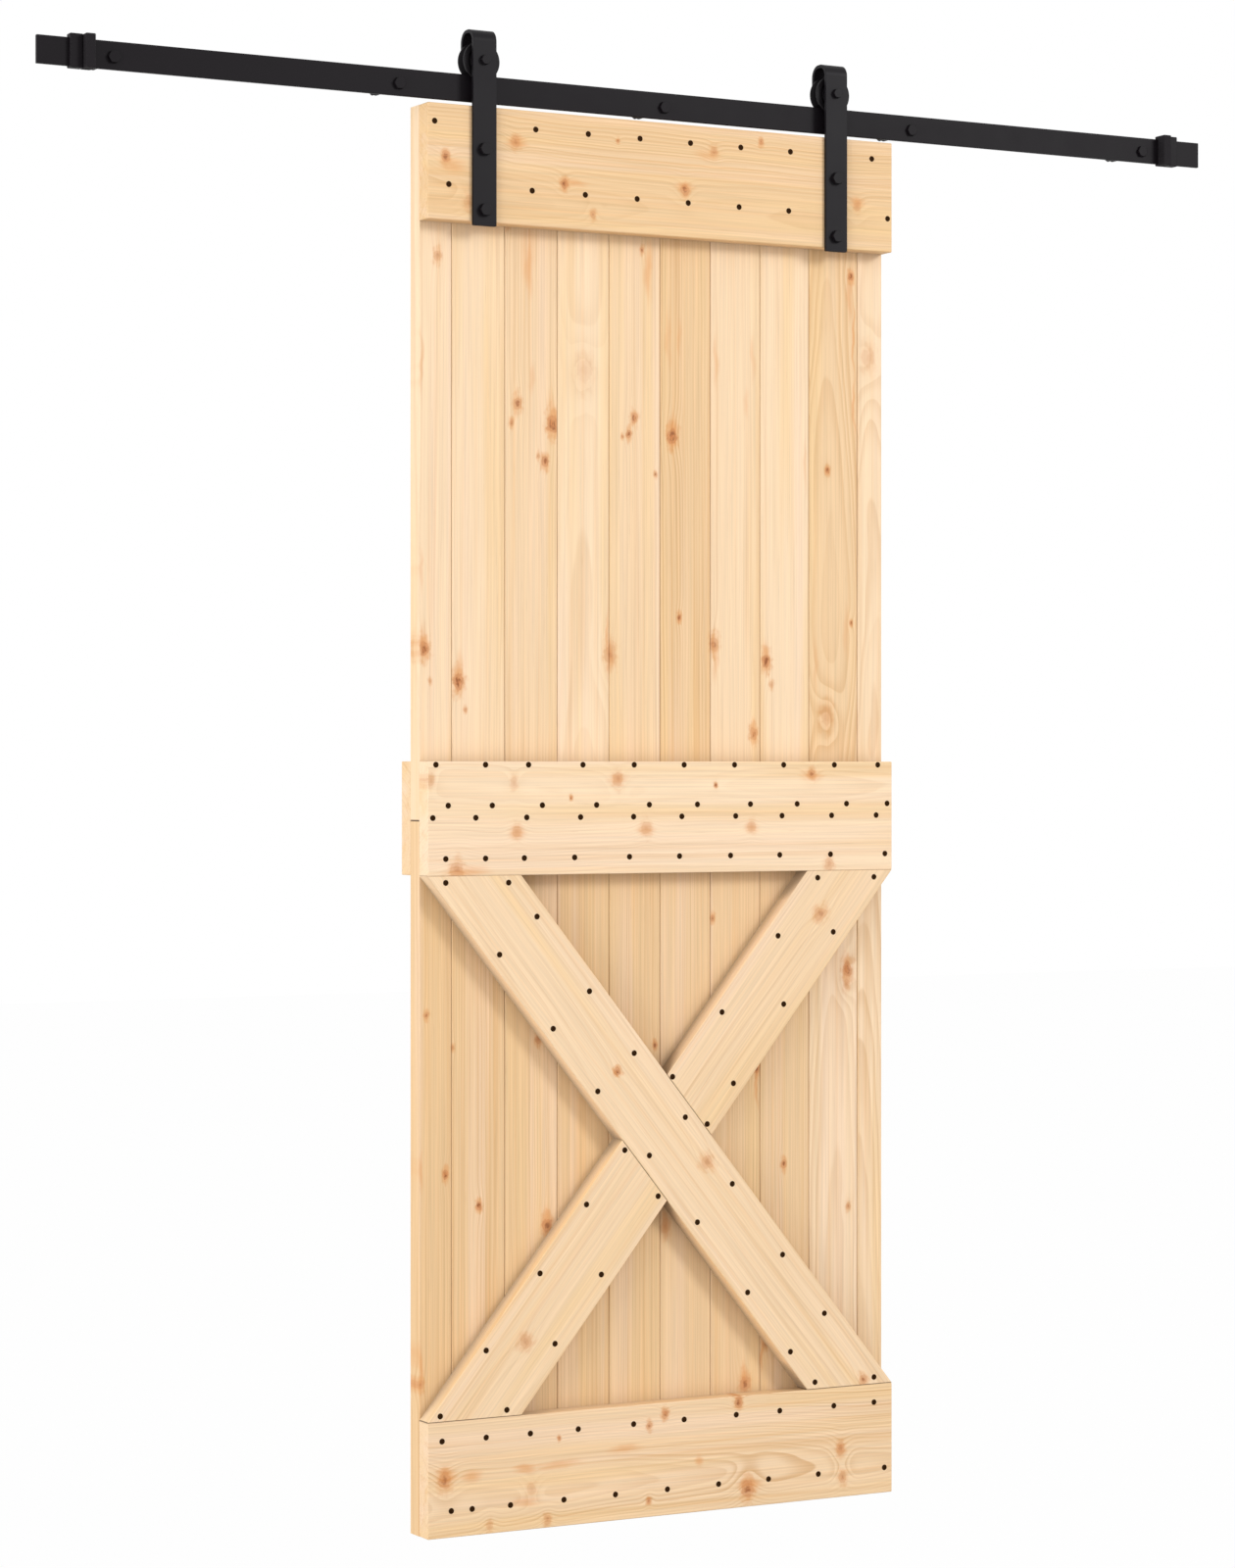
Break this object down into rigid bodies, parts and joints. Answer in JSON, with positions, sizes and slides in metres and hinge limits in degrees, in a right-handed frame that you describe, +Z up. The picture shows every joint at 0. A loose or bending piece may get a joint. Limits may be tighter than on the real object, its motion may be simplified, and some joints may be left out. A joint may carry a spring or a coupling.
{
  "type": "sliding door",
  "caption": "Plank sliding door with cross rails and a diagonal cross brace, hung from a flat wall track by wheeled strap hangers between end stops.",
  "frame": {"origin": "on the wall-side end of the middle spacer, midway across its ring below the screw, at the wall face", "axes": "+X along the track to the right, +Y into the wall, +Z up; the door's face looks along -Y"},
  "size_m": [1.995, 0.1254, 2.214],
  "materials": {
    "pine": "planed and unvarnished, with knots",
    "black_steel": "matt black powder coat",
    "black_rubber": "matt"
  },
  "bodies": {
    "track": {"track_bar": "black_steel", "wall_spacers": "black_steel", "wall_screws": "black_steel", "left_stop_collar": "black_steel", "right_stop_collar": "black_steel", "left_stop_buffer": "black_rubber", "right_stop_buffer": "black_rubber"},
    "door": {"axle_bolts": "black_steel", "axle_nuts": "black_steel", "axle_washers": "black_steel", "back_middle_rail": "pine", "bottom_rail": "pine", "left_hanger_strap": "black_steel", "long_brace": "pine", "lower_board_01": "pine", "lower_board_02": "pine", "lower_board_03": "pine", "lower_board_04": "pine", "lower_board_05": "pine", "lower_board_06": "pine", "lower_board_07": "pine", "lower_board_08": "pine", "lower_board_09": "pine", "lower_board_10": "pine", "lower_short_brace": "pine", "middle_rail": "pine", "right_hanger_strap": "black_steel", "strap_bolts": "black_steel", "strap_nuts": "black_steel", "top_rail": "pine", "upper_board_01": "pine", "upper_board_02": "pine", "upper_board_03": "pine", "upper_board_04": "pine", "upper_board_05": "pine", "upper_board_06": "pine", "upper_board_07": "pine", "upper_board_08": "pine", "upper_board_09": "pine", "upper_board_10": "pine", "upper_short_brace": "pine"},
    "left_wheel": {"left_wheel": "black_steel"},
    "right_wheel": {"right_wheel": "black_steel"}
  },
  "joints": [
    {"name": "door_slide", "type": "slide", "parent": "track", "child": "door", "axis": [1, 0, 0], "range_m": [-0.574, 0.591]},
    {"name": "left_wheel_roll", "type": "hinge", "parent": "door", "child": "left_wheel", "pos_m": [-0.3115, -0.079, 0.04763], "axis": [0, 1, 0], "range_deg": [-1620, 1660]},
    {"name": "right_wheel_roll", "type": "hinge", "parent": "door", "child": "right_wheel", "pos_m": [0.294, -0.079, 0.04763], "axis": [0, 1, 0], "range_deg": [-1620, 1660]}
  ],
  "couplings": [
    {"joint": "left_wheel_roll", "follows": "door_slide", "rad_per_m": 48.781},
    {"joint": "right_wheel_roll", "follows": "door_slide", "rad_per_m": 48.781}
  ]
}
